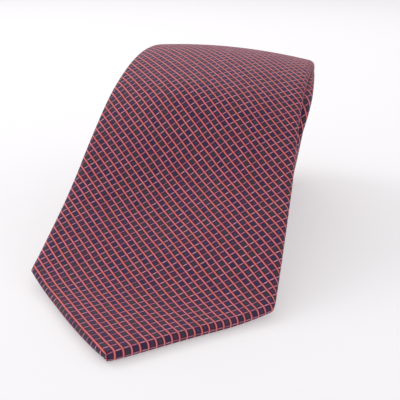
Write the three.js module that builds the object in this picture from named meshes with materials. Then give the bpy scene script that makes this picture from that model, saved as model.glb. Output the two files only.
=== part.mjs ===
// A men's bias-cut silk necktie, rolled up from its narrow end and lying on its side.
// The wide blade leaves the top of the roll, slopes down in front and rests its point flat
// on the table. X runs across the blade, -Y points to the tip, +Z is up, units are millimetres.
//
// The tie is one long laminated strip, so every piece is drawn first in the strip's own flat
// coordinates, then bent along one shared path:
//   s  distance along the tie from the wide tip
//   v  distance across the tie from its centre line
//   w  depth below the front face: 0 is the face that shows when worn, THICKNESS is the back
import * as THREE from 'three';

// ---- the tie laid flat ----
const TIE_LENGTH = 1480;
const BLADE_WIDTH = 90; // widest part of the wide end, at its shoulders
const NECK_WIDTH = 36;
const TAIL_WIDTH = 42; // widest part of the narrow end
const TIP_HALF_ANGLE = THREE.MathUtils.degToRad(45);
const TIP_BLUNT = 1; // half-width left at the very point, where the folds turn under
const BLADE_TAPER_LENGTH = 750; // from the wide shoulders to the neck
const TAIL_TAPER_LENGTH = 330; // from the neck to the narrow shoulders

// ---- the layers, front to back ----
const SILK = 0.45;
const INTERLINING = 0.95;
const TIPPING = 0.3;
const THREAD = 0.5;
const GAP = 0.3; // clearance between two pieces that lie on each other
const EDGE_CLEARANCE = 0.8; // the inner layers stop this far inside the turned edges

// ---- the folds of the envelope ----
const HEM_WIDTH = 10; // turned under along the edges of a tip
const WING_OVERLAP = 8; // one back wing laid over the other at the centre seam
const WIDE_SEAM_START = 96; // where the back wings meet above the wide tip
const TAIL_SEAM_START = 60; // the same, above the narrow tip
const TIPPING_TUCK = 18; // the lining runs on under the wings by this much

// ---- where the panels join ----
const WIDE_NECK_SEAM = 735;
const NECK_TAIL_SEAM = 1080;
const INTERLINING_JOIN = 905;

// ---- the trimmings on the back of the wide blade ----
const KEEPER_START = 110;
const KEEPER_WIDTH = 13;
const KEEPER_SPAN = 52;
const KEEPER_CLOTH = 0.8;
const KEEPER_SLACK = 1.6; // free height under the loop
const KEEPER_FOOT = 3.5;
const LABEL_START = 52;
const LABEL_LENGTH = 14;
const LABEL_SPAN = 25;
const LABEL_CLOTH = 0.25;
const TACK_LENGTH = 9;
const TACK_WIDTH = 1.4;

// ---- how it is rolled ----
const TURN_SPACE = 0.6; // air between one turn and the next
const CROWN_RADIUS = 92; // the flattish top of the roll
const CROWN_HALF_ANGLE = THREE.MathUtils.degToRad(20);
const EYE_RADIUS = 1.2; // at the two inner bends of the first turn
const ROLL_LEAN = 0.104; // sideways lean of the roll's right end, per mm of height
const SWELL = 2.2; // how far the second turn stands out as it comes up the front
const SWELL_SPAN = [66, 38]; // start and middle of that swell, before the second crest
const BLADE_SWAY = 7.3; // sideways lean of the blade between its tip and the crest

// ---- how the blade drapes, tip first: length and slope in degrees at its far end ----
const TOE_LENGTH = 28;
const TOE_BEND = { length: 24, slope: 28 };
const RAMP = [{ share: 0.63, slope: 41 }, { share: 0.37, slope: 36 }];
const SHOULDER_BEND_LENGTH = 25;

// ---- the hinge line of the blade, and the facets ----
const HINGE_AT = 150; // distance from the tip of the line that the blade lifts about
const BIGHT_STEPS = 8;
const CROWN_STEPS = 2;
const DRAPE_STEP = 8;

const THICKNESS = 3 * SILK + INTERLINING + TIPPING + 4 * GAP;
const PITCH = THICKNESS + TURN_SPACE;

const DEPTH = layerDepths();
const path = layPath();

// Depth of the near face of every layer below the front face.
function layerDepths() {
  const interlining = SILK + GAP;
  const tipping = interlining + INTERLINING + GAP;
  const lowerWing = tipping + TIPPING + GAP;
  const upperWing = lowerWing + SILK + GAP;
  return { interlining, tipping, lowerWing, upperWing };
}

// ---------------------------------------------------------------- the path of the strip

// Walks a chain of arcs, each with a length and a turn, to one distance along it.
function walk(arcs, start, distance) {
  let { y, z, slope } = start;
  let left = distance;
  for (const arc of arcs) {
    const run = Math.min(left, arc.length);
    const half = arc.turn * run / arc.length / 2;
    const chord = Math.abs(half) < 1e-9 ? run : run * Math.sin(half) / half;
    y += chord * Math.cos(slope + half);
    z += chord * Math.sin(slope + half);
    slope += 2 * half;
    left -= run;
    if (left <= 0) break;
  }
  return { y, z, slope };
}

// Outline of the outermost turn at mid thickness, from the crest backwards: half the crown,
// a round bight, the flat that it lies on, the other bight and the rest of the crown.
function turnOutline(bightRadius) {
  const crown = { length: CROWN_RADIUS * CROWN_HALF_ANGLE, turn: -CROWN_HALF_ANGLE };
  const bightTurn = Math.PI - CROWN_HALF_ANGLE;
  const bight = { length: bightRadius * bightTurn, turn: -bightTurn };
  const flat = { length: 2 * (CROWN_RADIUS - bightRadius) * Math.sin(CROWN_HALF_ANGLE), turn: 0 };
  return [crown, bight, flat, bight, crown];
}

function sumLengths(arcs) {
  return arcs.reduce((total, arc) => total + arc.length, 0);
}

// Distances round one turn at which the roll is faceted, the same on every turn so that the
// facets of all the turns stay parallel.
function turnMarks(outline) {
  const steps = [CROWN_STEPS, BIGHT_STEPS, 1, BIGHT_STEPS, CROWN_STEPS];
  const marks = [];
  let from = 0;
  outline.forEach((arc, i) => {
    for (let k = 0; k < steps[i]; k += 1) marks.push(from + arc.length * k / steps[i]);
    from += arc.length;
  });
  return marks;
}

// Distance round the outline at which it has turned by a given angle.
function distanceTurned(outline, angle) {
  let left = angle;
  let distance = 0;
  for (const arc of outline) {
    const turn = -arc.turn;
    if (left <= turn) return distance + (turn > 0 ? arc.length * left / turn : 0);
    left -= turn;
    distance += arc.length;
  }
  return distance;
}

// One point of the spiral, at a distance counted in turns from the crest. The outline moves
// inwards by one pitch for each full turn of its slope, so its flats stay flat.
function spiralPoint(outline, crest, turns) {
  const whole = Math.floor(turns + 1e-9);
  const base = walk(outline, crest, (turns - whole) * sumLengths(outline));
  const slope = base.slope - 2 * Math.PI * whole;
  const inset = -PITCH * slope / (2 * Math.PI);
  return {
    y: base.y + Math.sin(slope) * inset,
    z: base.z - Math.cos(slope) * inset,
    slope,
    turns,
  };
}

// The roll for one bight radius, from the front edge of the crown to the inner end.
function rollStations(bightRadius) {
  const outline = turnOutline(bightRadius);
  const round = sumLengths(outline);
  const top = THICKNESS / 2 - PITCH / 2 + bightRadius * (1 + Math.cos(CROWN_HALF_ANGLE))
    + CROWN_RADIUS * (1 - Math.cos(CROWN_HALF_ANGLE));
  const crest = { y: 0, z: top, slope: 0 };
  const first = -outline[0].length / round;
  const slopeTurns = (bightRadius - THICKNESS / 2 - EYE_RADIUS) / PITCH;
  const wholeTurns = Math.floor(slopeTurns);
  const partTurn = distanceTurned(outline, 2 * Math.PI * (slopeTurns - wholeTurns));
  const last = wholeTurns + partTurn / round;
  const marks = turnMarks(outline).map((mark) => mark / round);
  const turns = [];
  for (let k = -1; k < last; k += 1) {
    for (const mark of marks) {
      const at = k + mark;
      if (at > first + 1e-6 && at < last - 1e-3) turns.push(at);
    }
  }
  return [first, ...turns, last].map((at) => spiralPoint(outline, crest, at));
}

function pathLength(points) {
  let total = 0;
  for (let i = 1; i < points.length; i += 1) {
    total += Math.hypot(points[i].y - points[i - 1].y, points[i].z - points[i - 1].z);
  }
  return total;
}

// The drape in front of the roll: flat toe, toe bend, ramp and shoulder bend. The ramp is as
// long as it must be to reach the front edge of the crown.
function drapeStations(join) {
  const rad = THREE.MathUtils.degToRad;
  const slopes = [0, rad(TOE_BEND.slope), ...RAMP.map((part) => rad(part.slope)), join.slope];
  const rise = (length, a, b) => walk([{ length, turn: b - a }], { y: 0, z: 0, slope: a }, length).z;
  const bends = rise(TOE_BEND.length, slopes[0], slopes[1])
    + rise(SHOULDER_BEND_LENGTH, slopes[3], slopes[4]);
  const perLength = RAMP.reduce((sum, part, i) => sum + rise(part.share, slopes[i + 1], slopes[i + 2]), 0);
  const ramp = (join.z - THICKNESS / 2 - bends) / perLength;
  const lengths = [TOE_BEND.length, ...RAMP.map((part) => part.share * ramp), SHOULDER_BEND_LENGTH];
  const arcs = [
    { length: TOE_LENGTH, turn: 0 },
    ...lengths.map((length, i) => ({ length, turn: slopes[i + 1] - slopes[i] })),
  ];
  const total = sumLengths(arcs);
  const count = Math.ceil(total / DRAPE_STEP);
  const start = { y: 0, z: THICKNESS / 2, slope: 0 };
  const end = walk(arcs, start, total);
  const points = [];
  for (let i = 0; i < count; i += 1) {
    const point = walk(arcs, start, total * i / count);
    points.push({ ...point, y: point.y + join.y - end.y });
  }
  return points;
}

// The whole path, with the bight radius that uses up the tie's length.
function layPath() {
  let low = 8;
  let high = 90;
  let points = [];
  for (let i = 0; i < 40; i += 1) {
    const bightRadius = (low + high) / 2;
    const roll = rollStations(bightRadius);
    points = [...drapeStations(roll[0]), ...roll];
    if (pathLength(points) > TIE_LENGTH) high = bightRadius;
    else low = bightRadius;
  }
  let s = 0;
  return points.map((point, i) => {
    if (i > 0) s += Math.hypot(point.y - points[i - 1].y, point.z - points[i - 1].z);
    const { y, z, slope, turns } = point;
    return { s, y, z, ny: -Math.sin(slope), nz: Math.cos(slope), turns };
  });
}

// Place and outward direction at any distance, on the facets between the stations.
function frameAt(s) {
  let i = 1;
  while (i < path.length - 1 && path[i].s < s) i += 1;
  const a = path[i - 1];
  const b = path[i];
  const t = (s - a.s) / (b.s - a.s);
  const mix = (key) => a[key] + (b[key] - a[key]) * t;
  return { y: mix('y'), z: mix('z'), ny: mix('ny'), nz: mix('nz') };
}

// ---------------------------------------------------------------- the strip's own shape

// Value at s on straight runs between [s, value] pairs.
function ramped(pairs, s) {
  if (s <= pairs[0][0]) return pairs[0][1];
  for (let i = 1; i < pairs.length; i += 1) {
    const [s1, v1] = pairs[i];
    const [s0, v0] = pairs[i - 1];
    if (s <= s1) return v0 + (v1 - v0) * (s - s0) / (s1 - s0);
  }
  return pairs[pairs.length - 1][1];
}

const wideShoulder = (BLADE_WIDTH / 2 - TIP_BLUNT) / Math.tan(TIP_HALF_ANGLE);
const tailShoulder = TIE_LENGTH - (TAIL_WIDTH / 2 - TIP_BLUNT) / Math.tan(TIP_HALF_ANGLE);
const widthPairs = [
  [0, TIP_BLUNT],
  [wideShoulder, BLADE_WIDTH / 2],
  [wideShoulder + BLADE_TAPER_LENGTH, NECK_WIDTH / 2],
  [tailShoulder - TAIL_TAPER_LENGTH, NECK_WIDTH / 2],
  [tailShoulder, TAIL_WIDTH / 2],
  [TIE_LENGTH, TIP_BLUNT],
];

function halfWidth(s) {
  return ramped(widthPairs, s);
}

// Where the free edge of a back wing lies, measured from the centre towards its own side:
// past the centre where the wings overlap, and out at the hem round an open tip.
function wingEdge(s) {
  const half = halfWidth(s);
  const closed = -WING_OVERLAP / 2;
  const tip = Math.max(half - HEM_WIDTH, SILK + GAP - half, closed);
  const wideHem = BLADE_WIDTH / 2 - HEM_WIDTH;
  const tailHem = TAIL_WIDTH / 2 - HEM_WIDTH;
  if (s < wideShoulder || s > tailShoulder) return tip;
  if (s < WIDE_SEAM_START) return ramped([[wideShoulder, wideHem], [WIDE_SEAM_START, closed]], s);
  const tailStart = TIE_LENGTH - TAIL_SEAM_START;
  if (s > tailStart) return ramped([[tailStart, closed], [tailShoulder, tailHem]], s);
  return closed;
}

// Sideways place of the centre line. The blade sways to the right on its way up. The roll's
// right end leans to the right with height, and the second turn swells out of it in front.
const [crestAt, secondCrestAt] = [0, 1].map((turns) => (
  path.find((station) => Math.abs(station.turns - turns) < 1e-6).s));
const crestHeight = frameAt(crestAt).z;

function centreLine(s) {
  if (s <= crestAt) {
    const t = s / crestAt;
    return BLADE_SWAY * t * t * (3 - 2 * t);
  }
  const [start, middle] = SWELL_SPAN.map((before) => secondCrestAt - before);
  const swell = ramped([[start, 0], [middle, SWELL], [secondCrestAt, 0]], s);
  const lean = ROLL_LEAN * (crestHeight - frameAt(s).z);
  return BLADE_SWAY + halfWidth(crestAt) - lean + swell - halfWidth(s);
}

// ---------------------------------------------------------------- solids along the path

// Sweeps a closed section along the strip. section(s) gives [v, w] points, always the same
// number of them, counter-clockwise seen from the tip.
function sweep(from, to, section, extra = []) {
  const inside = [...path.map((station) => station.s), ...extra].filter((s) => s > from + 0.4 && s < to - 0.4);
  const rings = [from, ...inside.sort((a, b) => a - b), to].filter((s, i, all) => i === 0 || s - all[i - 1] > 0.05);
  const positions = [];
  for (const s of rings) {
    const frame = frameAt(s);
    const centre = centreLine(s);
    for (const [v, w] of section(s)) {
      const out = THICKNESS / 2 - w;
      positions.push(centre + v, frame.y + frame.ny * out, frame.z + frame.nz * out);
    }
  }
  const count = section(from).length;
  const index = [];
  for (let r = 0; r < rings.length - 1; r += 1) {
    for (let i = 0; i < count; i += 1) {
      const a = r * count + i;
      const b = r * count + (i + 1) % count;
      index.push(a, a + count, b, b, a + count, b + count);
    }
  }
  const capFaces = (s) => THREE.ShapeUtils.triangulateShape(section(s).map(([v, w]) => new THREE.Vector2(v, -w)), []);
  for (const [a, b, c] of capFaces(from)) index.push(a, b, c);
  const last = (rings.length - 1) * count;
  for (const [a, b, c] of capFaces(to)) index.push(last + a, last + c, last + b);
  const geometry = new THREE.BufferGeometry();
  geometry.setAttribute('position', new THREE.Float32BufferAttribute(positions, 3));
  geometry.setIndex(index);
  geometry.computeVertexNormals();
  return geometry;
}

// A plain slab between two sides and two depths, which may change along the strip.
function slab(from, to, side, near, far, extra = []) {
  const section = (s) => {
    const [left, right] = side(s);
    return [[left, far], [right, far], [right, near], [left, near]];
  };
  return sweep(from, to, section, extra);
}

// The silk envelope: front face, turned edges and two back wings, the right one on top.
function envelopeSection(s) {
  const half = halfWidth(s);
  const edge = wingEdge(s);
  const lower = DEPTH.lowerWing;
  const upper = DEPTH.upperWing;
  return [
    [-half, 0], [-half, lower + SILK], [-edge, lower + SILK], [-edge, lower],
    [SILK - half, lower], [SILK - half, SILK], [half - SILK, SILK], [half - SILK, upper],
    [edge, upper], [edge, upper + SILK], [half, upper + SILK], [half, 0],
  ];
}

function envelope(from, to) {
  const kinks = widthPairs.map(([s]) => s);
  const hemClear = (SILK + GAP + HEM_WIDTH) / 2;
  const tipKinks = [hemClear, TIE_LENGTH - hemClear, TIE_LENGTH - TAIL_SEAM_START, WIDE_SEAM_START];
  return sweep(from, to, envelopeSection, [...kinks, ...tipKinks]);
}

// Both linings and the interlining lie between the turned edges of the envelope.
function insideEdges(s) {
  const half = halfWidth(s) - SILK - EDGE_CLEARANCE;
  return [-half, half];
}

function interlining(from, to) {
  const kinks = widthPairs.map(([s]) => s);
  return slab(from, to, insideEdges, DEPTH.interlining, DEPTH.interlining + INTERLINING, kinks);
}

function tipping(from, to) {
  const kinks = widthPairs.map(([s]) => s);
  return slab(from, to, insideEdges, DEPTH.tipping, DEPTH.tipping + TIPPING, kinks);
}

// The slip stitch runs just beside the free edge of the upper wing, on the lower one.
function slipStitch(from, to) {
  const side = (s) => [wingEdge(s) - GAP - THREAD, wingEdge(s) - GAP];
  return slab(from, to, side, DEPTH.upperWing, DEPTH.upperWing + SILK);
}

// A seam between two panels: its stitches lie across the front skin between the two cut ends.
function panelSeam(at) {
  const side = (s) => [SILK - halfWidth(s), halfWidth(s) - SILK];
  return slab(at - THREAD / 2, at + THREAD / 2, side, 0, SILK);
}

// The keeper is a flat band with a foot at each end, so that the narrow end can pass under it.
function keeper() {
  const half = KEEPER_SPAN / 2;
  const left = DEPTH.lowerWing + SILK + GAP;
  const right = THICKNESS + GAP;
  const under = right + KEEPER_SLACK;
  const top = under + KEEPER_CLOTH;
  const section = () => [
    [-half, left], [-half, top], [half, top], [half, right],
    [half - KEEPER_FOOT, right], [half - KEEPER_FOOT, under],
    [KEEPER_FOOT - half, under], [KEEPER_FOOT - half, left],
  ];
  return sweep(KEEPER_START, KEEPER_START + KEEPER_WIDTH, section);
}

// A short bar of stitches across (span) and along (length) the tie, standing on depth w.
function tack(middle, from, length, span, w) {
  return slab(from, from + length, () => [middle - span / 2, middle + span / 2], w + GAP, w + GAP + THREAD);
}

// ---------------------------------------------------------------- colours and the assembly

const SILK_FINISH = { color: 0x78505c, roughness: 0.55, metalness: 0 };
const WOOL_FINISH = { color: 0xcfc8ba, roughness: 0.9, metalness: 0 };
const LINING_FINISH = { color: 0x2b2a45, roughness: 0.4, metalness: 0 };
const LABEL_FINISH = { color: 0xe6e2da, roughness: 0.5, metalness: 0 };
const THREAD_FINISH = { color: 0x6e3a48, roughness: 0.7, metalness: 0 };

const tie = new THREE.Group();

function add(name, geometry, finish) {
  const mesh = new THREE.Mesh(geometry, new THREE.MeshStandardMaterial(finish));
  mesh.name = name;
  tie.add(mesh);
}

const seamHalf = THREAD / 2 + GAP;
const bladeEnd = HINGE_AT - GAP / 2;
const rollStart = HINGE_AT + GAP / 2;
const tipClear = SILK + EDGE_CLEARANCE + 2;
const keeperTop = THICKNESS + GAP + KEEPER_SLACK + KEEPER_CLOTH;
const labelBack = DEPTH.tipping + TIPPING + GAP + LABEL_CLOTH;

// the wide blade, which lifts
add('blade_envelope', envelope(0, bladeEnd), SILK_FINISH);
add('blade_interlining', interlining(tipClear, bladeEnd), WOOL_FINISH);
add('wide_tipping', tipping(tipClear, WIDE_SEAM_START + TIPPING_TUCK), LINING_FINISH);
add('blade_slip_stitch', slipStitch(WIDE_SEAM_START + TACK_WIDTH, bladeEnd), THREAD_FINISH);
add('wide_bar_tack', tack(-WING_OVERLAP / 4, WIDE_SEAM_START, TACK_WIDTH, TACK_LENGTH, THICKNESS), THREAD_FINISH);
add('keeper_loop', keeper(), SILK_FINISH);
for (const [name, side] of [['left', -1], ['right', 1]]) {
  const keeperFoot = side * (KEEPER_SPAN - KEEPER_FOOT) / 2;
  const keeperMiddle = KEEPER_START + (KEEPER_WIDTH - TACK_LENGTH) / 2;
  add(`keeper_tack_${name}`, tack(keeperFoot, keeperMiddle, TACK_LENGTH, TACK_WIDTH, keeperTop), THREAD_FINISH);
  const labelEdge = side * (LABEL_SPAN / 2 - TACK_WIDTH);
  const labelMiddle = LABEL_START + (LABEL_LENGTH - TACK_LENGTH) / 2;
  add(`label_stitch_${name}`, tack(labelEdge, labelMiddle, TACK_LENGTH, TACK_WIDTH / 2, labelBack), THREAD_FINISH);
}
const labelSide = () => [-LABEL_SPAN / 2, LABEL_SPAN / 2];
add('care_label', slab(LABEL_START, LABEL_START + LABEL_LENGTH, labelSide, labelBack - LABEL_CLOTH, labelBack), LABEL_FINISH);

// the roll, which stays on the table
add('roll_envelope', envelope(rollStart, WIDE_NECK_SEAM - seamHalf), SILK_FINISH);
add('neck_envelope', envelope(WIDE_NECK_SEAM + seamHalf, NECK_TAIL_SEAM - seamHalf), SILK_FINISH);
add('tail_envelope', envelope(NECK_TAIL_SEAM + seamHalf, TIE_LENGTH), SILK_FINISH);
add('wide_neck_seam', panelSeam(WIDE_NECK_SEAM), THREAD_FINISH);
add('neck_tail_seam', panelSeam(NECK_TAIL_SEAM), THREAD_FINISH);
add('roll_interlining', interlining(rollStart, INTERLINING_JOIN - GAP / 2), WOOL_FINISH);
add('tail_interlining', interlining(INTERLINING_JOIN + GAP / 2, TIE_LENGTH - tipClear), WOOL_FINISH);
const tailSeamEnd = TIE_LENGTH - TAIL_SEAM_START;
add('narrow_tipping', tipping(tailSeamEnd - TIPPING_TUCK, TIE_LENGTH - tipClear), LINING_FINISH);
add('roll_slip_stitch', slipStitch(rollStart, tailSeamEnd - TACK_WIDTH), THREAD_FINISH);
add('narrow_bar_tack', tack(-WING_OVERLAP / 4, tailSeamEnd - TACK_WIDTH, TACK_WIDTH, TACK_LENGTH, THICKNESS), THREAD_FINISH);

// Origin under the middle of the bounding box, at the table.
const box = new THREE.Box3().setFromObject(tie);
tie.position.set(-(box.min.x + box.max.x) / 2, -(box.min.y + box.max.y) / 2, -box.min.z);
tie.updateMatrixWorld(true);

export default tie;
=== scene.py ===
import math

import bpy
import numpy as np
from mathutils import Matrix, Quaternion, Vector


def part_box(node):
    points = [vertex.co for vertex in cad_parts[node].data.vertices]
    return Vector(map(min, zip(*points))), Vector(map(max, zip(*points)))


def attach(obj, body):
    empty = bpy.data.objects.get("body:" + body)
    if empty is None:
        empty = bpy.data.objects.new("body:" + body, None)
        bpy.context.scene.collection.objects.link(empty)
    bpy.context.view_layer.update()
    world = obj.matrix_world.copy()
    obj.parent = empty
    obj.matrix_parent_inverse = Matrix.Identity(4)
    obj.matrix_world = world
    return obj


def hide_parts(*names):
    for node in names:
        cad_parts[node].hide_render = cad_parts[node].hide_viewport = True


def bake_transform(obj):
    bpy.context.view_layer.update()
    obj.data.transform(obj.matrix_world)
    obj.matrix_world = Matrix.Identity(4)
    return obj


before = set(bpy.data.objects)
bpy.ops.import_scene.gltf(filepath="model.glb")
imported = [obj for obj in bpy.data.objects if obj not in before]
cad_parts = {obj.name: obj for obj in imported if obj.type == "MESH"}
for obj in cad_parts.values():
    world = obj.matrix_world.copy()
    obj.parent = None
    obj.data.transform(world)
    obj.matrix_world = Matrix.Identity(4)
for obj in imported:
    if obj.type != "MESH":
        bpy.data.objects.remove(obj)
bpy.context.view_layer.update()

# ---------------------------------------------------------------- table, light and camera
# The tie lies on a plain white table under soft window light from the left and from behind. The table also
# glows a little of its own, painted light that keeps the floor pale and its shadows shallow.
# It is seen from a little above the table and slightly to the right of the blade.
TABLE_WHITE = (0.52, 0.515, 0.52, 1)
TABLE_GLOW = 0.39
TABLE_HALF = 3.0
TABLE_DROP = 0.0002
DAYLIGHT = (1.0, 0.985, 1.0, 1)
DAYLIGHT_STRENGTH = 0.80
LENS = 63.0
CAMERA_BACK = 0.3475
CAMERA_TURN = math.radians(11.2)
CAMERA_TILT = math.radians(19.9)
CAMERA_ROLL = math.radians(2.05)
TIP_FROM_LEFT = 0.044
TIP_TO_TARGET = Vector((-0.0026, 0.1492, 0.0))

blade_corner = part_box("blade_envelope")[0]
tip = Vector((blade_corner.x + TIP_FROM_LEFT, blade_corner.y, 0.0))

table_mesh = bpy.data.meshes.new("table")
table_corners = [(x * TABLE_HALF, y * TABLE_HALF, 0) for x, y in ((-1, -1), (1, -1), (1, 1), (-1, 1))]
table_mesh.from_pydata(table_corners, [], [(0, 1, 2, 3)])
table = bpy.data.objects.new("table", table_mesh)
table.location.z = -TABLE_DROP
bpy.context.scene.collection.objects.link(table)
table_paint_and_glow = bpy.data.materials.new("table_paint_and_glow")
table_paint_and_glow.use_nodes = True
table_shader = table_paint_and_glow.node_tree.nodes["Principled BSDF"]
table_shader.inputs["Base Color"].default_value = TABLE_WHITE
table_shader.inputs["Roughness"].default_value = 0.6
# Painted light: the table's emission makes it glow of its own, so the tie's shadow on it is only about half
# as deep.
table_shader.inputs["Emission Color"].default_value = DAYLIGHT
table_shader.inputs["Emission Strength"].default_value = TABLE_GLOW
table_mesh.materials.append(table_paint_and_glow)

camera_data = bpy.data.cameras.new("camera")
camera_data.lens = LENS
camera_data.sensor_width = 36.0
camera = bpy.data.objects.new("camera", camera_data)
bpy.context.scene.collection.objects.link(camera)
back = Vector((
    math.sin(CAMERA_TURN) * math.cos(CAMERA_TILT),
    -math.cos(CAMERA_TURN) * math.cos(CAMERA_TILT),
    math.sin(CAMERA_TILT),
))
camera.location = tip + TIP_TO_TARGET + back * CAMERA_BACK
camera.rotation_mode = "QUATERNION"
camera.rotation_quaternion = (-back).to_track_quat("-Z", "Y") @ Quaternion((0, 0, 1), CAMERA_ROLL)
bpy.context.scene.camera = camera

world = bpy.data.worlds.new("room")
bpy.context.scene.world = world
world.use_nodes = True
room_light = world.node_tree.nodes["Background"]
room_light.inputs["Color"].default_value = DAYLIGHT
room_light.inputs["Strength"].default_value = DAYLIGHT_STRENGTH


def window(name, place, size, watts):
    """A soft rectangular light that faces the middle of the roll."""
    light = bpy.data.lights.new(name, "AREA")
    light.shape = "RECTANGLE"
    light.size, light.size_y = size
    light.energy = watts
    lamp = bpy.data.objects.new(name, light)
    lamp.location = place
    lamp.rotation_mode = "QUATERNION"
    lamp.rotation_quaternion = (Vector((0, 0, 0.03)) - Vector(place)).to_track_quat("-Z", "Y")
    bpy.context.scene.collection.objects.link(lamp)


window("window_left", (-0.9, 0.15, 0.7), (0.7, 0.7), 4.2)
window("window_behind", (-0.2, 1.1, 0.9), (1.0, 0.7), 2.4)
bpy.context.scene.view_settings.view_transform = "Standard"

# ---------------------------------------------------------------- the silk of the wide blade
# Front panel of the envelope: jacquard silk cut on the bias, folded round the interlining
# so that its two wings overlap down the centre of the back. It is woven with a square grid,
# strong coral threads one way and thin mauve ones the other, over dark navy and plum.
MM = 0.001
TIE_LENGTH = 1480.0
BLADE_HALF = 45.0
NECK_HALF = 18.0
TAIL_HALF = 21.0
BLADE_TAPER = 750.0
TAIL_TAPER = 330.0
SILK = 0.45
LAYER_GAP = 0.3
INTERLINING = 0.95
TIPPING = 0.3
THICKNESS = 3 * SILK + INTERLINING + TIPPING + 4 * LAYER_GAP
PITCH = THICKNESS + 0.6
WOOL_DEPTH = SILK + LAYER_GAP
LINING_DEPTH = WOOL_DEPTH + INTERLINING + LAYER_GAP
LOWER_WING = LINING_DEPTH + TIPPING + LAYER_GAP
UPPER_WING = LOWER_WING + SILK + LAYER_GAP
HEM = 10.0
WING_OVERLAP = 4.0
WIDE_SEAM_START = 96.0
TAIL_SEAM_START = TIE_LENGTH - 60.0
WIDE_SHOULDER = BLADE_HALF - 1
TAIL_SHOULDER = TIE_LENGTH - TAIL_HALF + 1
CROWN_RADIUS = 92.0
CROWN_ANGLE = math.radians(20)
EYE_RADIUS = 1.2
EDGE_ROLL = 2.6
WAIST = 0.8

roll_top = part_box("roll_envelope")[1].z / MM
blade_front = blade_corner.y / MM
crown_drop = CROWN_RADIUS * (1 - math.cos(CROWN_ANGLE))
bight_radius = (roll_top - THICKNESS + PITCH / 2 - crown_drop) / (1 + math.cos(CROWN_ANGLE))


def walk(arcs, start, distances):
    """Points and slopes along a chain of arcs, each given as (length, turn)."""
    distances = np.asarray(distances, float)
    y, z, slope = (np.full(distances.shape, value) for value in start)
    left = distances.copy()
    for length, turn in arcs:
        run = np.clip(left, 0, length)
        half = turn * run / length / 2
        chord = run * np.sinc(half / np.pi)
        y = y + chord * np.cos(slope + half)
        z = z + chord * np.sin(slope + half)
        slope = slope + 2 * half
        left = left - run
    return y, z, slope


def turn_outline():
    """One full turn of the roll, from the crest backwards, at half thickness."""
    crown = (CROWN_RADIUS * CROWN_ANGLE, -CROWN_ANGLE)
    bight = (bight_radius * (math.pi - CROWN_ANGLE), CROWN_ANGLE - math.pi)
    flat = (2 * (CROWN_RADIUS - bight_radius) * math.sin(CROWN_ANGLE), 0.0)
    return [crown, bight, flat, bight, crown]


TIP_FLAT = 28.0
FOOT_BEND = 24.0
RAMP_SLOPES = (math.radians(28), math.radians(41), math.radians(36))
RAMP_SHARE = 0.63
SHOULDER_BEND = 25.0


def lay_strip():
    """Distance, place and slope along the middle of the strip, from the tip to the tail: flat
    on the table at the tip, then a bend up, a ramp in two parts and the turns of the roll."""
    outline = turn_outline()
    round_length = sum(length for length, _ in outline)
    top = roll_top - THICKNESS / 2
    turns = (bight_radius - THICKNESS / 2 - EYE_RADIUS) / PITCH
    steps = np.arange(-outline[0][0] / round_length, turns + 0.2, 1.0 / round_length)
    whole = np.floor(steps)
    y, z, slope = walk(outline, (0.0, top, 0.0), (steps - whole) * round_length)
    slope = slope - 2 * np.pi * whole
    inset = -PITCH * slope / (2 * np.pi)
    y, z = y + np.sin(slope) * inset, z - np.cos(slope) * inset
    slopes = [0, *RAMP_SLOPES, CROWN_ANGLE]
    lengths = [FOOT_BEND, RAMP_SHARE, 1 - RAMP_SHARE, SHOULDER_BEND]

    def rise(i):
        """Height gained over one bend."""
        return float(walk([(lengths[i], slopes[i + 1] - slopes[i])], (0, 0, slopes[i]), lengths[i])[1])

    ramp = (z[0] - THICKNESS / 2 - rise(0) - rise(3)) / (rise(1) + rise(2))
    lengths = [lengths[0], lengths[1] * ramp, lengths[2] * ramp, lengths[3]]
    arcs = [(TIP_FLAT, 0.0)] + [(lengths[i], slopes[i + 1] - slopes[i]) for i in range(4)]
    total = sum(length for length, _ in arcs)
    along = np.arange(0, total, 1.0)
    front_y, front_z, front_slope = walk(arcs, (0.0, THICKNESS / 2, 0.0), along)
    end_y = walk(arcs, (0.0, 0.0, 0.0), total)[0]
    front_y = front_y + y[0] - end_y
    y, z = np.concatenate([front_y, y]), np.concatenate([front_z, z])
    slope = np.concatenate([front_slope, slope])
    y = y + blade_front - y[0]
    s = np.concatenate([[0], np.cumsum(np.hypot(np.diff(y), np.diff(z)))])
    return s, y, z, slope


strip_s, strip_y, strip_z, strip_slope = lay_strip()
PAST_RAMP = 130.0


def reach_of(turned):
    """Distance along the strip at which it has turned this far past its first crest. Past the
    ramp the slope only falls, so each turn is reached once."""
    wound = strip_s > PAST_RAMP
    return float(np.interp(turned, -strip_slope[wound], strip_s[wound]))


crest_s, second_crest_s = reach_of(0), reach_of(2 * math.pi)


def soft_step(low, high, x):
    """0 below low, 1 above high, with soft ends."""
    t = np.clip((np.asarray(x, float) - low) / (high - low), 0, 1)
    return t * t * (3 - 2 * t)


def bell(x, middle, reach):
    """1 in the middle, fading away on both sides."""
    return np.exp(-(((x - middle) / reach) ** 2))


TIP_ROUND = 3.8
WIDE_TUCK = 1.4
TAIL_TUCK = 0.8
TIP_BLUNT = 0.15


def point_width(from_end, tuck):
    """Half the width near a 90 degree point, rounded and pressed a little blunt."""
    wide = np.sqrt(np.maximum(from_end * (from_end + 2 * TIP_ROUND), 0.0)) - tuck
    return np.maximum(wide * soft_step(-0.3, 2.0, from_end), TIP_BLUNT)


def half_width(s):
    """Half the width of the folded tie, a little waisted where the ramp meets the crest."""
    s = np.asarray(s, float)
    knots = [WIDE_SHOULDER, WIDE_SHOULDER + BLADE_TAPER, TAIL_SHOULDER - TAIL_TAPER, TAIL_SHOULDER]
    body = np.interp(s, knots, [BLADE_HALF, NECK_HALF, NECK_HALF, TAIL_HALF])
    body = body - WAIST * bell(s, 142, 32)
    return np.minimum(body, np.minimum(point_width(s, WIDE_TUCK), point_width(TIE_LENGTH - s, TAIL_TUCK)))


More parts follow.
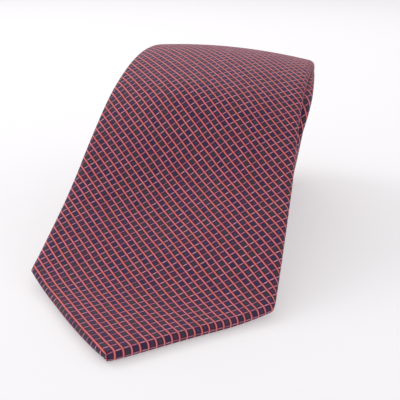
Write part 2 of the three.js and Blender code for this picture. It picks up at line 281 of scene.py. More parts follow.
def wing_edge(s):
    """Where a back wing's free edge lies, from the centre towards the wing's own side. Round
    a point it is the edge of the hem."""
    half = half_width(s)
    hem = np.maximum(np.maximum(half - HEM, SILK + LAYER_GAP - half), -WING_OVERLAP)
    wing = np.interp(s, [WIDE_SHOULDER, WIDE_SEAM_START, TAIL_SEAM_START, TAIL_SHOULDER],
                     [BLADE_HALF - HEM, -WING_OVERLAP, -WING_OVERLAP, TAIL_HALF - HEM])
    return np.where((s < WIDE_SHOULDER) | (s > TAIL_SHOULDER), hem, wing)


SWAY = [(0, 0.0), (20, 0.1), (60, 1.6), (120, 3.5), (crest_s, 6.6)]
ROLL_LEAN = 0.104
SWELL = 3.6
SWELL_START = second_crest_s - 66
SWELL_FULL = second_crest_s - 36
SWELL_END = second_crest_s + 20


def centre_line(s):
    """Sideways place of the middle of the tie. The roll's right end leans to the right with
    height, and the second turn swells out of it as it comes up the front."""
    s = np.asarray(s, float)
    front = np.interp(s, [p[0] for p in SWAY], [p[1] for p in SWAY])
    below = float(np.interp(crest_s, strip_s, strip_z)) - np.interp(s, strip_s, strip_z)
    swell = np.interp(s, [SWELL_START, SWELL_FULL, SWELL_END], [0, SWELL, 0])
    right = SWAY[-1][1] + float(half_width(crest_s)) - ROLL_LEAN * below + swell
    return np.where(s < crest_s, front, right - half_width(s))


SMOOTH_REACH = 12
smooth_s = np.arange(-40, TIE_LENGTH + 40, 1.0)
kernel = np.hanning(2 * SMOOTH_REACH + 1)
rough_centre = np.pad(centre_line(np.clip(smooth_s, 0, TAIL_SHOULDER)), SMOOTH_REACH, mode="edge")
smooth_centre = np.convolve(rough_centre, kernel / kernel.sum(), mode="valid")
smooth_heading = np.arctan(np.gradient(smooth_centre))


def relief(s, v):
    """How far the drape stands off its plain curve. The foot of the ramp is a little full and
    has a shallow dent above it left of the middle. The right side sinks half way up. Above a
    hollow the cloth bulges, and the crown over the crest leans to the right."""
    u = v / BLADE_HALF
    foot = 1.3 * soft_step(34, 66, s) * (1 - soft_step(98, 150, s))
    dent = -3.6 * bell(s, 80, 20) * bell(u, -0.20, 0.5)
    sunk = -2.2 * soft_step(0.25, 0.9, u) * soft_step(70, 104, s) * (1 - soft_step(112, 165, s))
    hollow = -1.6 * bell(s, 98, 13) * bell(u, 0.05, 0.55)
    bulge = 2.6 * bell(s, 132, 16) * bell(u, -0.10, 0.60)
    arch = (0.7 - 1.4 * u * u) * soft_step(12, 50, s) * (1 - soft_step(195, 262, s))
    crown = 2.2 * (1 - u * u) * soft_step(98, 132, s) * (1 - soft_step(195, 262, s))
    lean = -1.9 * u * soft_step(105, 165, s) * (1 - soft_step(200, 262, s))
    return foot + dent + sunk + hollow + bulge + arch + crown + lean


def lie(s, v, w):
    """Bends flat coordinates of the tie, in millimetres, to points in metres."""
    s, v, w = np.broadcast_arrays(*(np.asarray(a, float) for a in (s, v, w)))
    heading = np.interp(s, smooth_s, smooth_heading)
    at = s - v * np.sin(heading)
    y = np.interp(at, strip_s, strip_y) + np.minimum(at, 0)
    z = np.interp(at, strip_s, strip_z)
    slope = np.interp(at, strip_s, strip_slope)
    out = THICKNESS / 2 - w + relief(s, v)
    x = tip.x / MM + np.interp(s, smooth_s, smooth_centre) + v * np.cos(heading)
    return np.stack([x, y - np.sin(slope) * out, z + np.cos(slope) * out], axis=-1) * MM


def mesh_of(name, points, cloth, faces):
    """A smooth object from points, faces and each point's place in its flat cloth."""
    mesh = bpy.data.meshes.new(name)
    mesh.from_pydata(points.reshape(-1, 3).tolist(), [], faces)
    mesh.polygons.foreach_set("use_smooth", [True] * len(mesh.polygons))
    layer = mesh.attributes.new("cloth", "FLOAT_VECTOR", "POINT")
    layer.data.foreach_set("vector", np.asarray(cloth, np.float32).ravel())
    piece = bpy.data.objects.new(name, mesh)
    bpy.context.scene.collection.objects.link(piece)
    return piece


def swept(name, rings, section):
    """A closed solid swept along the tie. section(s) gives a loop of (v, w) points, the cloth
    coordinates of each, and how much of its thickness is left there. The loop's first half is
    the outside and its second half, in the reverse order, the inside."""
    points, cloth = [], []
    for s in rings:
        loop, woven, squeeze = section(s)
        w = THICKNESS / 2 + (loop[:, 1] - THICKNESS / 2) * squeeze
        points.append(lie(s, loop[:, 0], w))
        cloth.append(woven)
    count = len(points[0])
    faces = []
    for r in range(len(rings) - 1):
        for i in range(count):
            j = (i + 1) % count
            faces.append((r * count + i, r * count + j, (r + 1) * count + j, (r + 1) * count + i))
    last = (len(rings) - 1) * count
    for i in range(count // 2 - 1):
        a, b, c, d = i, i + 1, count - 2 - i, count - 1 - i
        faces.append((d, c, b, a))
        faces.append((last + a, last + b, last + c, last + d))
    return mesh_of(name, np.array(points), np.concatenate(cloth), faces)


WING_POINTS = 9
FRONT_POINTS = 37
FOLD_POINTS = 7


def contour(s, inset):
    """The envelope's outline, this far inside its outer face, from the left wing's free
    edge round the front to the right wing's."""
    half = float(half_width(s))
    edge = float(wing_edge(s))
    roll = min(EDGE_ROLL, 0.85 * half)
    left_far, right_far = LOWER_WING + SILK, THICKNESS
    span = roll - min(inset, 0.5 * roll)
    v, w = [], []

    def bend(side, far):
        angles = np.linspace(0, np.pi, FOLD_POINTS + 2)[1:-1]
        bulge = side * (half - roll + span * np.sin(angles))
        depth = far / 2 - (far / 2 - inset) * np.cos(angles)
        return bulge, depth

    v.append(np.linspace(min(-edge, half - roll), roll - half, WING_POINTS))
    w.append(np.full(WING_POINTS, left_far - inset))
    bulge, depth = bend(-1, left_far)
    v.append(bulge[::-1])
    w.append(depth[::-1])
    v.append(np.linspace(roll - half, half - roll, FRONT_POINTS))
    w.append(np.full(FRONT_POINTS, inset))
    bulge, depth = bend(1, right_far)
    v.append(bulge)
    w.append(depth)
    v.append(np.linspace(half - roll, max(edge, roll - half), WING_POINTS))
    w.append(np.full(WING_POINTS, right_far - inset))
    return np.stack([np.concatenate(v), np.concatenate(w)], axis=1)


def cloth_across(points, share):
    """Distance over the cloth from the middle of a contour to each of its points. The share
    scales the sideways part of each step."""
    steps = np.hypot(np.diff(points[:, 0]) * share, np.diff(points[:, 1]))
    run = np.concatenate([[0], np.cumsum(steps)])
    return run - (run[(len(run) - 1) // 2] + run[len(run) // 2]) / 2


TIP_PRESSED = 2.2


def silk_section(s):
    """One ring of the envelope, with its cloth coordinates. Round a point the hem turns over
    an edge at 45 degrees to the ring, so the cloth runs on square to that edge. The last of
    the point is pressed thin."""
    outside = contour(s, 0.0)
    inside = contour(s, SILK)
    straight = cloth_across(outside, 1.0)
    root = math.sqrt(0.5)
    square = np.abs(cloth_across(outside, root))
    side = np.sign(straight)
    level = side * outside[:, 0] * root
    wide_point = 1 - soft_step(WIDE_SHOULDER - 2, WIDE_SHOULDER + 3, s)
    tail_point = soft_step(TAIL_SHOULDER - 3, TAIL_SHOULDER + 2, s)
    slanting = wide_point + tail_point
    along = s + (level - square) * root * (wide_point - tail_point)
    sideways = straight * (1 - slanting) + side * (level + square) * root * slanting
    woven = np.stack([along, sideways, np.zeros_like(along)], axis=1)
    from_end = min(s, TIE_LENGTH - s)
    squeeze = math.sqrt(max(0.02, 1 - max(0.0, 1 - from_end / TIP_PRESSED) ** 2))
    return np.concatenate([outside, inside[::-1]]), np.concatenate([woven, woven[::-1]]), squeeze


class Wire:
    """The output of a shader node. Sums written with it add Math nodes."""

    def __init__(self, finish, socket):
        self.finish, self.socket = finish, socket

    def math(self, operation, *values):
        inputs = dict(enumerate(values))
        return self.finish.node("ShaderNodeMath", {"operation": operation}, inputs)

    def __add__(self, other):
        return self.math("ADD", self, other)

    def __radd__(self, other):
        return self.math("ADD", other, self)

    def __sub__(self, other):
        return self.math("SUBTRACT", self, other)

    def __rsub__(self, other):
        return self.math("SUBTRACT", other, self)

    def __mul__(self, other):
        return self.math("MULTIPLY", self, other)

    def __rmul__(self, other):
        return self.math("MULTIPLY", other, self)

    def floor(self):
        return self.math("FLOOR", self)

    def size(self):
        """Its size without its sign."""
        return self.math("ABSOLUTE", self)

    def fold(self):
        """Distance to the nearest whole number, from 0 to a half."""
        return self.math("PINGPONG", self, 0.5)

    def fade(self, low, high):
        """1 below low, 0 above high, with soft ends."""
        return self.finish.node("ShaderNodeMapRange", {"interpolation_type": "SMOOTHSTEP"}, {
            "Value": self, "From Min": low, "From Max": high, "To Min": 1.0, "To Max": 0.0})


class Finish:
    """A material in the making. node() adds any node, with its settings set before its inputs."""

    def __init__(self, name):
        self.material = bpy.data.materials.new(name)
        self.material.use_nodes = True
        self.tree = self.material.node_tree
        self.shader = self.tree.nodes["Principled BSDF"]

    def node(self, kind, settings, inputs, output=0):
        made = self.tree.nodes.new(kind)
        for key, value in settings.items():
            if key == "stops":
                ramp = made.color_ramp
                while len(ramp.elements) < len(value):
                    ramp.elements.new(0.5)
                for element, (place, colour) in zip(ramp.elements, value):
                    element.position, element.color = place, (*colour, 1)
            elif key == "steps":
                made.color_ramp.interpolation = value
            else:
                setattr(made, key, value)
        for key, value in inputs.items():
            self.feed(made.inputs[key], value)
        return Wire(self, made.outputs[output])

    def feed(self, socket, value):
        if isinstance(value, Wire):
            self.tree.links.new(value.socket, socket)
        else:
            socket.default_value = value

    def blend(self, amount, first, second):
        """Mixes two colours; an amount of 1 gives the second. Sockets 6 and 7 are the Mix
        node's colours, and the ones before them are for numbers and vectors."""
        first, second = ((*c, 1) if isinstance(c, tuple) else c for c in (first, second))
        return self.node("ShaderNodeMix", {"data_type": "RGBA"}, {0: amount, 6: first, 7: second}, 2)

    def cloth(self):
        """Distance along and across the flat cloth in millimetres, and both as a vector."""
        place = self.node("ShaderNodeAttribute", {"attribute_name": "cloth"}, {}, 1)
        split = self.node("ShaderNodeSeparateXYZ", {}, {"Vector": place})
        return split, Wire(self, split.socket.node.outputs[1]), place

    def noise(self, place, scale, detail=2.0):
        return self.node("ShaderNodeTexNoise", {}, {"Vector": place, "Scale": scale, "Detail": detail})

    def chance(self, x, y, z):
        """A steady random number from 0 to 1 for each cell of a grid."""
        cell = self.node("ShaderNodeCombineXYZ", {}, {"X": x, "Y": y, "Z": z})
        return self.node("ShaderNodeTexWhiteNoise", {}, {"Vector": cell})

    def set(self, **values):
        """Sets shader sockets by name, with _ for a space."""
        for key, value in values.items():
            self.feed(self.shader.inputs[key.replace("_", " ")], value)

    def bump(self, height, distance):
        """Raises the surface by the height, times this distance in metres."""
        self.set(Normal=self.node("ShaderNodeBump", {}, {"Height": height, "Distance": distance}))


CORAL_SPACING = 2.78
MAUVE_SPACING = 2.76
RIB_PITCH = 0.31
YARN_TWIST = 0.52
YARN_HEIGHT = 0.00025
NAVY, SLATE, PLUM = (0.030, 0.026, 0.084), (0.037, 0.042, 0.050), (0.072, 0.018, 0.056)
CHARCOAL, INK, CELL_HIGHLIGHT_BLUE = (0.034, 0.035, 0.036), (0.034, 0.018, 0.066), (0.084, 0.092, 0.185)
WINE, SHADE = (0.105, 0.014, 0.044), (0.010, 0.005, 0.007)
CORAL, ROSE, CERISE = (0.86, 0.225, 0.120), (0.82, 0.26, 0.25), (0.46, 0.062, 0.15)
MAUVE, DASH_HIGHLIGHT_PINK = (0.56, 0.14, 0.27), (0.72, 0.36, 0.46)
SILK_SHEEN = (0.9, 0.55, 0.66, 1)


def woven_silk():
    """Dark cells, each of one of five colours with a painted blue highlight in its middle, then mauve dashes
    with a painted pink highlight towards their middles, then the coral lines.
    """
    finish = Finish("woven_silk")
    along, across, place = finish.cloth()
    drift = (finish.noise(place, 0.11, 1.0) - 0.5) * 0.12
    coral_count = (along + across) * (1 / (math.sqrt(2) * CORAL_SPACING)) + drift
    mauve_count = (along - across) * (1 / (math.sqrt(2) * MAUVE_SPACING)) - drift
    off_coral = coral_count.fold() * CORAL_SPACING
    off_mauve = mauve_count.fold() * MAUVE_SPACING
    chance = finish.chance(coral_count.floor(), mauve_count.floor(), 0.0)
    dash_chance = finish.chance(coral_count.floor(), (mauve_count + 0.5).floor(), 7.0)
    yarn = finish.noise(place, 1.9, 2.0)
    rib = (along * (1 / RIB_PITCH)).fold() * 2
    twist = ((along - across) * (1 / YARN_TWIST)).fold() * 2

    ground = finish.node("ShaderNodeValToRGB", {"steps": "CONSTANT", "stops": [
        (0.0, NAVY), (0.26, SLATE), (0.46, PLUM), (0.68, CHARCOAL), (0.84, INK)]}, {"Fac": chance})
    # Painted highlight: the middle of each cell is lightened towards blue, by a random amount per cell.
    middle = (1 - off_coral.fade(0.55, 1.15)) * (1 - off_mauve.fade(0.45, 1.05))
    ground = finish.blend(middle * (0.15 + chance * 0.5), ground, CELL_HIGHLIGHT_BLUE)
    ground = finish.blend(off_coral.fade(0.40, 1.00) * 0.9, ground, WINE)
    ground = finish.blend(off_mauve.fade(0.28, 0.70) * 0.6, ground, WINE)
    ground = finish.blend(rib * 0.35 + yarn * 0.3, ground, SHADE)

    mauve_line = off_mauve.fade(0.08, 0.30)
    # Painted highlight: each mauve dash turns lighter and pinker towards the middle of its cell, by a random
    # amount per dash.
    dash_highlight = 1 - off_coral.fade(0.45, 1.10)
    dash = finish.blend(dash_highlight * (0.25 + dash_chance * 0.75), MAUVE, DASH_HIGHLIGHT_PINK)
    colour = finish.blend(mauve_line * (0.55 + dash_chance * 0.4), ground, dash)

    coral_line = off_coral.fade(0.04, 0.31)
    tone = finish.noise(place, 0.22, 2.0).fade(0.42, 0.58)
    colour = finish.blend(off_coral.fade(0.22, 0.52) * 0.75, colour, CERISE)
    colour = finish.blend(coral_line * (0.80 + yarn * 0.3), colour, finish.blend(tone, CORAL, ROSE))

    height = off_coral.fade(0.10, 0.50) * (0.8 + twist * 0.2) + mauve_line * 0.3 + rib * 0.06
    finish.set(Base_Color=colour, Roughness=0.60 - coral_line * 0.1, Sheen_Weight=0.16,
               Sheen_Roughness=0.4, Sheen_Tint=SILK_SHEEN, Specular_IOR_Level=0.14)
    finish.bump(height, YARN_HEIGHT)
    return finish.material


silk = woven_silk()


POINT_RINGS = [0.12, 0.35, 0.7, 1.2, 1.8, 2.6, 3.6, 5.0]
POINT_RINGS_END = 6.0


def rings_between(start, end, step):
    """Ring distances, closer together round a point of the tie."""
    rings = list(np.linspace(start, end, max(2, int(round((end - start) / step)) + 1)))
    if start < POINT_RINGS[0]:
        rings = [start, *POINT_RINGS] + [s for s in rings if s > POINT_RINGS_END]
    if end > TIE_LENGTH - POINT_RINGS[0]:
        body = [s for s in rings if s < TIE_LENGTH - POINT_RINGS_END]
        rings = body + [TIE_LENGTH - c for c in reversed(POINT_RINGS)] + [end]
    return rings


def panel(name, start, end, step):
    """A silk panel of the envelope. Its flat cut is as wide as the folded outline is long."""
    rings = rings_between(start, end, step)
    piece = swept(name, rings, silk_section)
    piece.data.materials.append(silk)
    cuts = [cloth_across(contour(s, 0.0), 1.0) for s in rings]
    widths = np.array([cut[-1] - cut[0] for cut in cuts]) * MM
    flat = (float(widths.max()), (end - start) * MM)
    return piece


TIP_START = 0.03
BLADE_CUT = reach_of(math.pi - 0.02)

silk_blade = panel("silk_blade", TIP_START, BLADE_CUT, 2.5)
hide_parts("blade_envelope")
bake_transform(silk_blade)

# ---------------------------------------------------------------- the silk on the roll
# The wide panel goes on round the roll, then the neck panel and the tail panel, sewn end
# to end. All of it is the same cloth, folded the same way and wound from the tail.
WIDE_NECK_SEAM = 735.0
NECK_TAIL_SEAM = 1080.0
SEAM_HALF = 0.15
ROLL_PANELS = [
    ("silk_roll", BLADE_CUT, WIDE_NECK_SEAM - SEAM_HALF, "roll_envelope"),
    ("silk_neck", WIDE_NECK_SEAM + SEAM_HALF, NECK_TAIL_SEAM - SEAM_HALF, "neck_envelope"),
    ("silk_tail", NECK_TAIL_SEAM + SEAM_HALF, TIE_LENGTH - TIP_START, "tail_envelope"),
]
for name, start, end, node in ROLL_PANELS:
    piece = panel(name, start, end, 2.6)
    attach(piece, "roll")
    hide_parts(node)

# ---------------------------------------------------------------- the interlining
# Brushed wool, cut to the inside width of the folded silk and loose in it. It gives the
# tie its body. Two lengths meet inside the roll.
INTERLINING_JOIN = 905.0
JOIN_HALF = 0.15
CUT_HALF = 0.2
LAYER_EDGE = 1.7
TIP_CLEAR = 3.4
WOOL_WEAVE = 0.9
FLEECE, CREAM, OATMEAL = (0.50, 0.45, 0.37), (0.72, 0.68, 0.60), (0.36, 0.32, 0.26)


def slab_section(depth, thick, columns=21):
    """A section for a flat layer inside the silk, with soft edges a little in from the folds."""
    def section(s):
        half = float(half_width(s)) - LAYER_EDGE
        v = np.linspace(-half, half, columns)
        middle = depth + thick / 2
        rounding = thick / 2 * np.sqrt(1 - 0.9 * (np.abs(v) / half) ** 16)
        outside = np.stack([v, middle - rounding], axis=1)
        inside = np.stack([v, middle + rounding], axis=1)
        woven = np.stack([np.full(columns, s), v, np.zeros(columns)], axis=1)
        return np.concatenate([outside, inside[::-1]]), np.concatenate([woven, woven[::-1]]), 1.0
    return section


def layer(name, start, end, step, depth, thick, material, rests_on):
    """A flat layer from start to end. The width and length that it is cut to are worked out but not passed
    on.
    """
    rings = np.linspace(start, end, max(2, int((end - start) / step)))
    piece = swept(name, rings, slab_section(depth, thick))
    piece.data.materials.append(material)
    widths = 2 * (half_width(rings) - LAYER_EDGE) * MM
    flat = (float(widths.max()), (end - start) * MM)
    return piece


def brushed_wool():
    """Undyed plain weave under a soft nap."""
    finish = Finish("brushed_wool")
    along, across, place = finish.cloth()
    weave = (along * (1 / WOOL_WEAVE)).fold() + (across * (1 / WOOL_WEAVE)).fold()
    fuzz = finish.noise(place, 0.9, 6.0)
    colour = finish.blend(weave * 0.35, finish.blend(fuzz, FLEECE, CREAM), OATMEAL)
    finish.set(Base_Color=colour, Roughness=0.88 + fuzz * 0.1, Sheen_Weight=0.4, Specular_IOR_Level=0.2)
    finish.bump(weave * 0.6 + fuzz, 0.0003)
    return finish.material


wool = brushed_wool()
wool_blade = layer("wool_blade", TIP_CLEAR, BLADE_CUT - CUT_HALF, 2.6, WOOL_DEPTH, INTERLINING, wool,
                   ["silk_blade"])
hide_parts("blade_interlining")
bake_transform(wool_blade)
WOOL_ROLLED = [
    ("wool_roll", BLADE_CUT + CUT_HALF, INTERLINING_JOIN - JOIN_HALF, "roll_interlining"),
    ("wool_tail", INTERLINING_JOIN + JOIN_HALF, TIE_LENGTH - TIP_CLEAR, "tail_interlining"),
]
for name, start, end, node in WOOL_ROLLED:
    piece = layer(name, start, end, 2.6, WOOL_DEPTH, INTERLINING, wool, ["silk_roll"])
    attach(piece, "roll")
    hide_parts(node)

# ---------------------------------------------------------------- the tipping
# Thin navy satin that lines both points. The hems of the silk hold it down at its edges,
# and it runs a little way up under the wings.
TIPPING_TUCK = 18.0
SATIN_PITCH = 0.42
SATIN_NAVY, SATIN_LIGHT, SATIN_DARK = (0.020, 0.022, 0.055), (0.045, 0.048, 0.11), (0.014, 0.014, 0.032)


def navy_satin():
    """Fine slanting floats, a little cloudy from pressing."""
    finish = Finish("navy_satin")
    along, across, place = finish.cloth()
    twill = ((along * 0.5 + across) * (1 / SATIN_PITCH)).fold() * 2
    cloud = finish.noise(place, 0.05, 3.0)
    colour = finish.blend(cloud * 0.3, finish.blend(twill * 0.5, SATIN_NAVY, SATIN_LIGHT), SATIN_DARK)
    finish.set(Base_Color=colour, Roughness=0.34 + twill * 0.12, Sheen_Weight=0.15, Specular_IOR_Level=0.5)
    finish.bump(twill + cloud * 2, 0.00008)
    return finish.material


satin = navy_satin()
wide_end = WIDE_SEAM_START + TIPPING_TUCK
narrow_start = TAIL_SEAM_START - TIPPING_TUCK
TIPPINGS = [
    ("lining_wide", TIP_CLEAR, wide_end, "blade", "wide_tipping", "wool_blade"),
    ("lining_narrow", narrow_start, TIE_LENGTH - TIP_CLEAR, "roll", "narrow_tipping", "wool_tail"),
]
for name, start, end, body, node, under in TIPPINGS:
    piece = layer(name, start, end, 2.2, LINING_DEPTH, TIPPING, satin, [under])
    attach(piece, body)
    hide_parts(node)

# ---------------------------------------------------------------- hand stitches
# Wine coloured silk thread. A slip stitch closes the back, with slack in it, a bar tack
# stops the seam at each end, and a line of stitches joins the panels across the front.
THREAD_RADIUS = 0.22
SEAM_THREAD_RADIUS = 0.16
PLY_TWIST = 0.5
CLARET, CLARET_GROOVE_SHADE, CLARET_LIGHT = (0.19, 0.035, 0.055), (0.075, 0.012, 0.024), (0.26, 0.07, 0.085)


def sewing_thread():
    """Two plies twisted together, with painted shade where they meet."""
    finish = Finish("sewing_thread")
    along, across, place = finish.cloth()
    twist = ((along + across) * (1 / PLY_TWIST)).fold() * 2
    shade = finish.noise(place, 0.7, 2.0)
    colour = finish.blend(shade * 0.4, finish.blend(twist * 0.6, CLARET, CLARET_GROOVE_SHADE), CLARET_LIGHT)
    finish.set(Base_Color=colour, Roughness=0.5 + twist * 0.15, Sheen_Weight=0.3, Specular_IOR_Level=0.35)
    finish.bump(twist, 0.0001)
    return finish.material


thread = sewing_thread()


THREAD_RINGS = [(0.0, 0.35), (0.06, 0.75), (0.18, 1.0), (0.5, 1.0), (0.82, 1.0), (0.94, 0.75), (1.0, 0.35)]


def stitches(name, bits, radius=THREAD_RADIUS, sides=8):
    """One mesh of short stitches. Each bit is (s, v, w) at its start, its middle and its end,
    joined by a smooth arch of thread with rounded ends."""
    points, cloth, faces = [], [], []
    turn = np.linspace(0, 2 * np.pi, sides, endpoint=False)
    for start, middle, end in bits:
        start, middle, end = (np.array(p, float) for p in (start, middle, end))
        run = end[:2] - start[:2]
        length = float(np.hypot(*run))
        side = np.array([-run[1], run[0]]) / length
        base = len(points) * sides
        for k, (t, share) in enumerate(THREAD_RINGS):
            at = start * (1 - t) * (1 - 2 * t) + middle * 4 * t * (1 - t) + end * t * (2 * t - 1)
            thick = radius * share
            s = at[0] + side[0] * thick * np.cos(turn)
            v = at[1] + side[1] * thick * np.cos(turn)
            points.append(lie(s, v, at[2] + thick * np.sin(turn)))
            woven = [np.full(sides, t * length), turn * radius, np.full(sides, at[0])]
            cloth.append(np.stack(woven, axis=1))
            if k > 0:
                row, last = base + k * sides, base + (k - 1) * sides
                for i in range(sides):
                    j = (i + 1) % sides
                    faces.append((last + i, last + j, row + j, row + i))
        faces.append(tuple(base + i for i in reversed(range(sides))))
        faces.append(tuple(base + (len(THREAD_RINGS) - 1) * sides + i for i in range(sides)))
    piece = mesh_of(name, np.array(points), np.concatenate(cloth), faces)
    piece.data.materials.append(thread)
    return piece


SLIP_PITCH = 5.2
SLIP_LENGTH = 2.2


def slip_stitch(start, end):
    """Slanting stitches that pick up the upper wing's edge from the lower wing."""
    bits = []
    edge = -WING_OVERLAP - LAYER_GAP
    low = UPPER_WING + 0.02
    for s in np.arange(start, end - 3, SLIP_PITCH):
        arch = (s + SLIP_LENGTH / 2, edge - 0.45, low + 0.30)
        bits.append(((s, edge - 0.9, low), arch, (s + SLIP_LENGTH, edge + 0.15, low + 0.12)))
    return bits


TACK_LENGTH = 2.0
TACK_MIDDLE = -1.0
TACK_SPAN = 9.0
TACK_STITCHES = 19
TACK_SINK = 0.12
TACK_LIFT = 0.3


def bar_tack(start):
    """A bar of stitches side by side over the meeting edges of the two wings."""
    bits = []
    top = THICKNESS + THREAD_RADIUS
    for v in np.linspace(TACK_MIDDLE - TACK_SPAN / 2, TACK_MIDDLE + TACK_SPAN / 2, TACK_STITCHES):
        arch = (start + TACK_LENGTH / 2, v + 0.05, top + TACK_LIFT)
        bits.append(((start, v, top - TACK_SINK), arch, (start + TACK_LENGTH, v, top - TACK_SINK)))
    return bits


slip_blade = stitches("slip_stitch_blade", slip_stitch(WIDE_SEAM_START + 2.5, BLADE_CUT - 1))
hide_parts("blade_slip_stitch")
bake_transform(slip_blade)
slip_roll = stitches("slip_stitch_roll", slip_stitch(BLADE_CUT + 2, TAIL_SEAM_START - 2.5))
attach(slip_roll, "roll")
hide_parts("roll_slip_stitch")

tack_wide = stitches("tack_wide", bar_tack(WIDE_SEAM_START - 0.2))
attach(tack_wide, "blade")
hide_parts("wide_bar_tack")
tack_narrow = stitches("tack_narrow", bar_tack(TAIL_SEAM_START - 1.8))
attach(tack_narrow, "roll")
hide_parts("narrow_bar_tack")

SEAMS = [
    ("seam_wide_neck", WIDE_NECK_SEAM, "wide_neck_seam"),
    ("seam_neck_tail", NECK_TAIL_SEAM, "neck_tail_seam"),
]
for name, at, node in SEAMS:
    reach = float(half_width(at)) - 1.6
    row = []
    for v in np.arange(-reach, reach, 1.5):
        row.append(((at - 0.45, v, 0.28), (at, v + 0.5, 0.16), (at + 0.45, v + 1.0, 0.28)))
    seam = stitches(name, row, SEAM_THREAD_RADIUS)
    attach(seam, "roll")
    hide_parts(node)

# ---------------------------------------------------------------- the keeper
# A band of the same silk, folded double, across the back of the blade. Its ends are tacked
# down on the wings, and the narrow end of the tie is tucked under it when worn.
KEEPER_START = 110.0
KEEPER_WIDTH = 13.0
KEEPER_SPAN = 52.0
KEEPER_CLOTH = 0.8
KEEPER_SLACK = 1.6
KEEPER_FOOT = 3.5
KEEPER_END = 0.05


def keeper_depth(v):
    """Depth of the middle of the band: down on the wings at its ends, and slack between."""
    v = np.asarray(v, float)
    wing = np.where(v < 0, LOWER_WING + SILK, THICKNESS) + LAYER_GAP
    from_end = KEEPER_SPAN / 2 - np.abs(v)
    top = THICKNESS + LAYER_GAP + KEEPER_SLACK
    return wing + (top - wing) * soft_step(KEEPER_FOOT - 0.5, KEEPER_FOOT + 7, from_end) + KEEPER_CLOTH / 2


last_v = KEEPER_SPAN / 2 - KEEPER_END
full_v = last_v - 0.25
band_v = np.concatenate([[-last_v], np.linspace(-full_v, full_v, 61), [last_v]])
half_band = KEEPER_WIDTH / 2
half_cloth = KEEPER_CLOTH / 2
angles = np.linspace(-np.pi / 2, np.pi / 2, 7)
corner_s = half_band - half_cloth + half_cloth * np.cos(angles)
corner_w = half_cloth * np.sin(angles)
flat_s = np.linspace(-half_band + 1, half_band - 1, 9)
flat_w = np.full(len(flat_s), half_cloth)
loop_s = np.concatenate([corner_s, flat_s[::-1], -corner_s[::-1], flat_s])
loop_w = np.concatenate([corner_w, flat_w, corner_w[::-1], -flat_w])
inner_cloth = np.where(loop_w < 0, 20.0, 0.0)
count = len(loop_s)
points, cloth, faces = [], [], []
for k, v in enumerate(band_v):
    width, thick = (0.985, 0.45) if k in (0, len(band_v) - 1) else (1.0, 1.0)
    points.append(lie(KEEPER_START + half_band + loop_s * width, v, keeper_depth(v) + loop_w * thick))
    cloth.append(np.stack([np.full(count, v + 1.1), loop_s + inner_cloth, np.zeros(count)], axis=1))
    if k > 0:
        for i in range(count):
            j = (i + 1) % count
            faces.append(((k - 1) * count + i, (k - 1) * count + j, k * count + j, k * count + i))
faces.append(tuple(reversed(range(count))))
faces.append(tuple((len(band_v) - 1) * count + i for i in range(count)))
keeper = mesh_of("keeper", np.array(points), np.concatenate(cloth), faces)
keeper.data.materials.append(silk)
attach(keeper, "blade")
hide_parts("keeper_loop")

for side, name in ((-1, "left"), (1, "right")):
    foot = side * (KEEPER_SPAN - KEEPER_FOOT) / 2
    top = float(keeper_depth(foot)) + half_cloth + THREAD_RADIUS
    bits = []
    for s in np.linspace(KEEPER_START + 2, KEEPER_START + KEEPER_WIDTH - 2, TACK_STITCHES):
        bits.append(((s, foot - 0.9, top - 0.15), (s + 0.05, foot, top + 0.08), (s, foot + 0.9, top - 0.15)))
    tack = stitches("keeper_tack_" + name + "_thread", bits)
    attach(tack, "blade")
    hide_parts("keeper_tack_" + name)

# ---------------------------------------------------------------- the care label
# A small blank satin label with a thin claret border. It lies on the wide lining and is
# sewn down along its two ends.
LABEL_START = 52.0
LABEL_LENGTH = 14.0
LABEL_SPAN = 25.0
LABEL_CLOTH = 0.25
LABEL_DEPTH = LINING_DEPTH + TIPPING + LAYER_GAP
LABEL_CURL = 0.35
LABEL_COLUMNS = 21
LABEL_BORDER = 1.6
LABEL_THREAD_RADIUS = 0.18
WEFT_PITCH = 0.35
IVORY, PARCHMENT, TEA, BORDER = (0.80, 0.77, 0.70), (0.62, 0.59, 0.52), (0.7, 0.64, 0.55), (0.30, 0.06, 0.08)


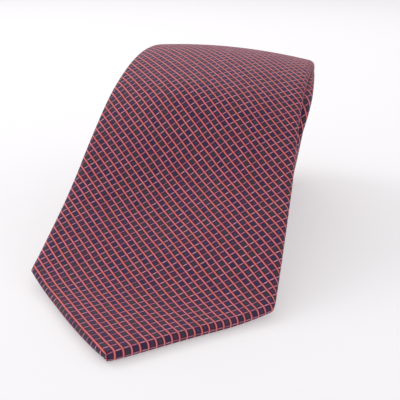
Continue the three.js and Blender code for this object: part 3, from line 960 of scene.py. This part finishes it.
def label_section(s):
    """One ring of the label, which lifts a little between the stitches at its long edges."""
    v = np.linspace(-LABEL_SPAN / 2, LABEL_SPAN / 2, LABEL_COLUMNS)
    end = min(s - LABEL_START, LABEL_START + LABEL_LENGTH - s)
    curl = LABEL_CURL * np.exp(-end / 1.2) * (1 - (v / LABEL_SPAN * 2) ** 2)
    woven = np.stack([np.full(LABEL_COLUMNS, s - LABEL_START), v, np.zeros(LABEL_COLUMNS)], axis=1)
    outside = np.stack([v, LABEL_DEPTH + curl], axis=1)
    inside = np.stack([v, LABEL_DEPTH + LABEL_CLOTH + curl], axis=1)
    return np.concatenate([outside, inside[::-1]]), np.concatenate([woven, woven[::-1]]), 1.0


def label_satin():
    """Ivory satin with a line along each long edge."""
    finish = Finish("label_satin")
    along, _, place = finish.cloth()
    weft = (along * (1 / WEFT_PITCH)).fold() * 2
    from_middle = (along - LABEL_LENGTH / 2).size()
    line = (from_middle - (LABEL_LENGTH / 2 - LABEL_BORDER)).size().fade(0.15, 0.3)
    cloud = finish.noise(place, 0.3, 2.0)
    colour = finish.blend(cloud * 0.2, finish.blend(weft * 0.4, IVORY, PARCHMENT), TEA)
    finish.set(Base_Color=finish.blend(line, colour, BORDER), Roughness=0.38 + weft * 0.15, Sheen_Weight=0.1)
    finish.bump(weft + line * 0.6, 0.00008)
    return finish.material


label = swept("label", np.linspace(LABEL_START, LABEL_START + LABEL_LENGTH, 21), label_section)
label.data.materials.append(label_satin())
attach(label, "blade")
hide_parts("care_label")

for side, name in ((-1, "left"), (1, "right")):
    edge = side * (LABEL_SPAN / 2 - 1.4)
    top = LABEL_DEPTH + LABEL_CLOTH + THREAD_RADIUS * 0.6
    bits = []
    for s in np.linspace(LABEL_START + 1.6, LABEL_START + LABEL_LENGTH - 3.4, 6):
        bits.append(((s, edge, top - 0.1), (s + 0.75, edge, top + 0.12), (s + 1.5, edge, top - 0.1)))
    row = stitches("label_stitch_" + name + "_thread", bits, LABEL_THREAD_RADIUS)
    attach(row, "blade")
    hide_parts("label_stitch_" + name)
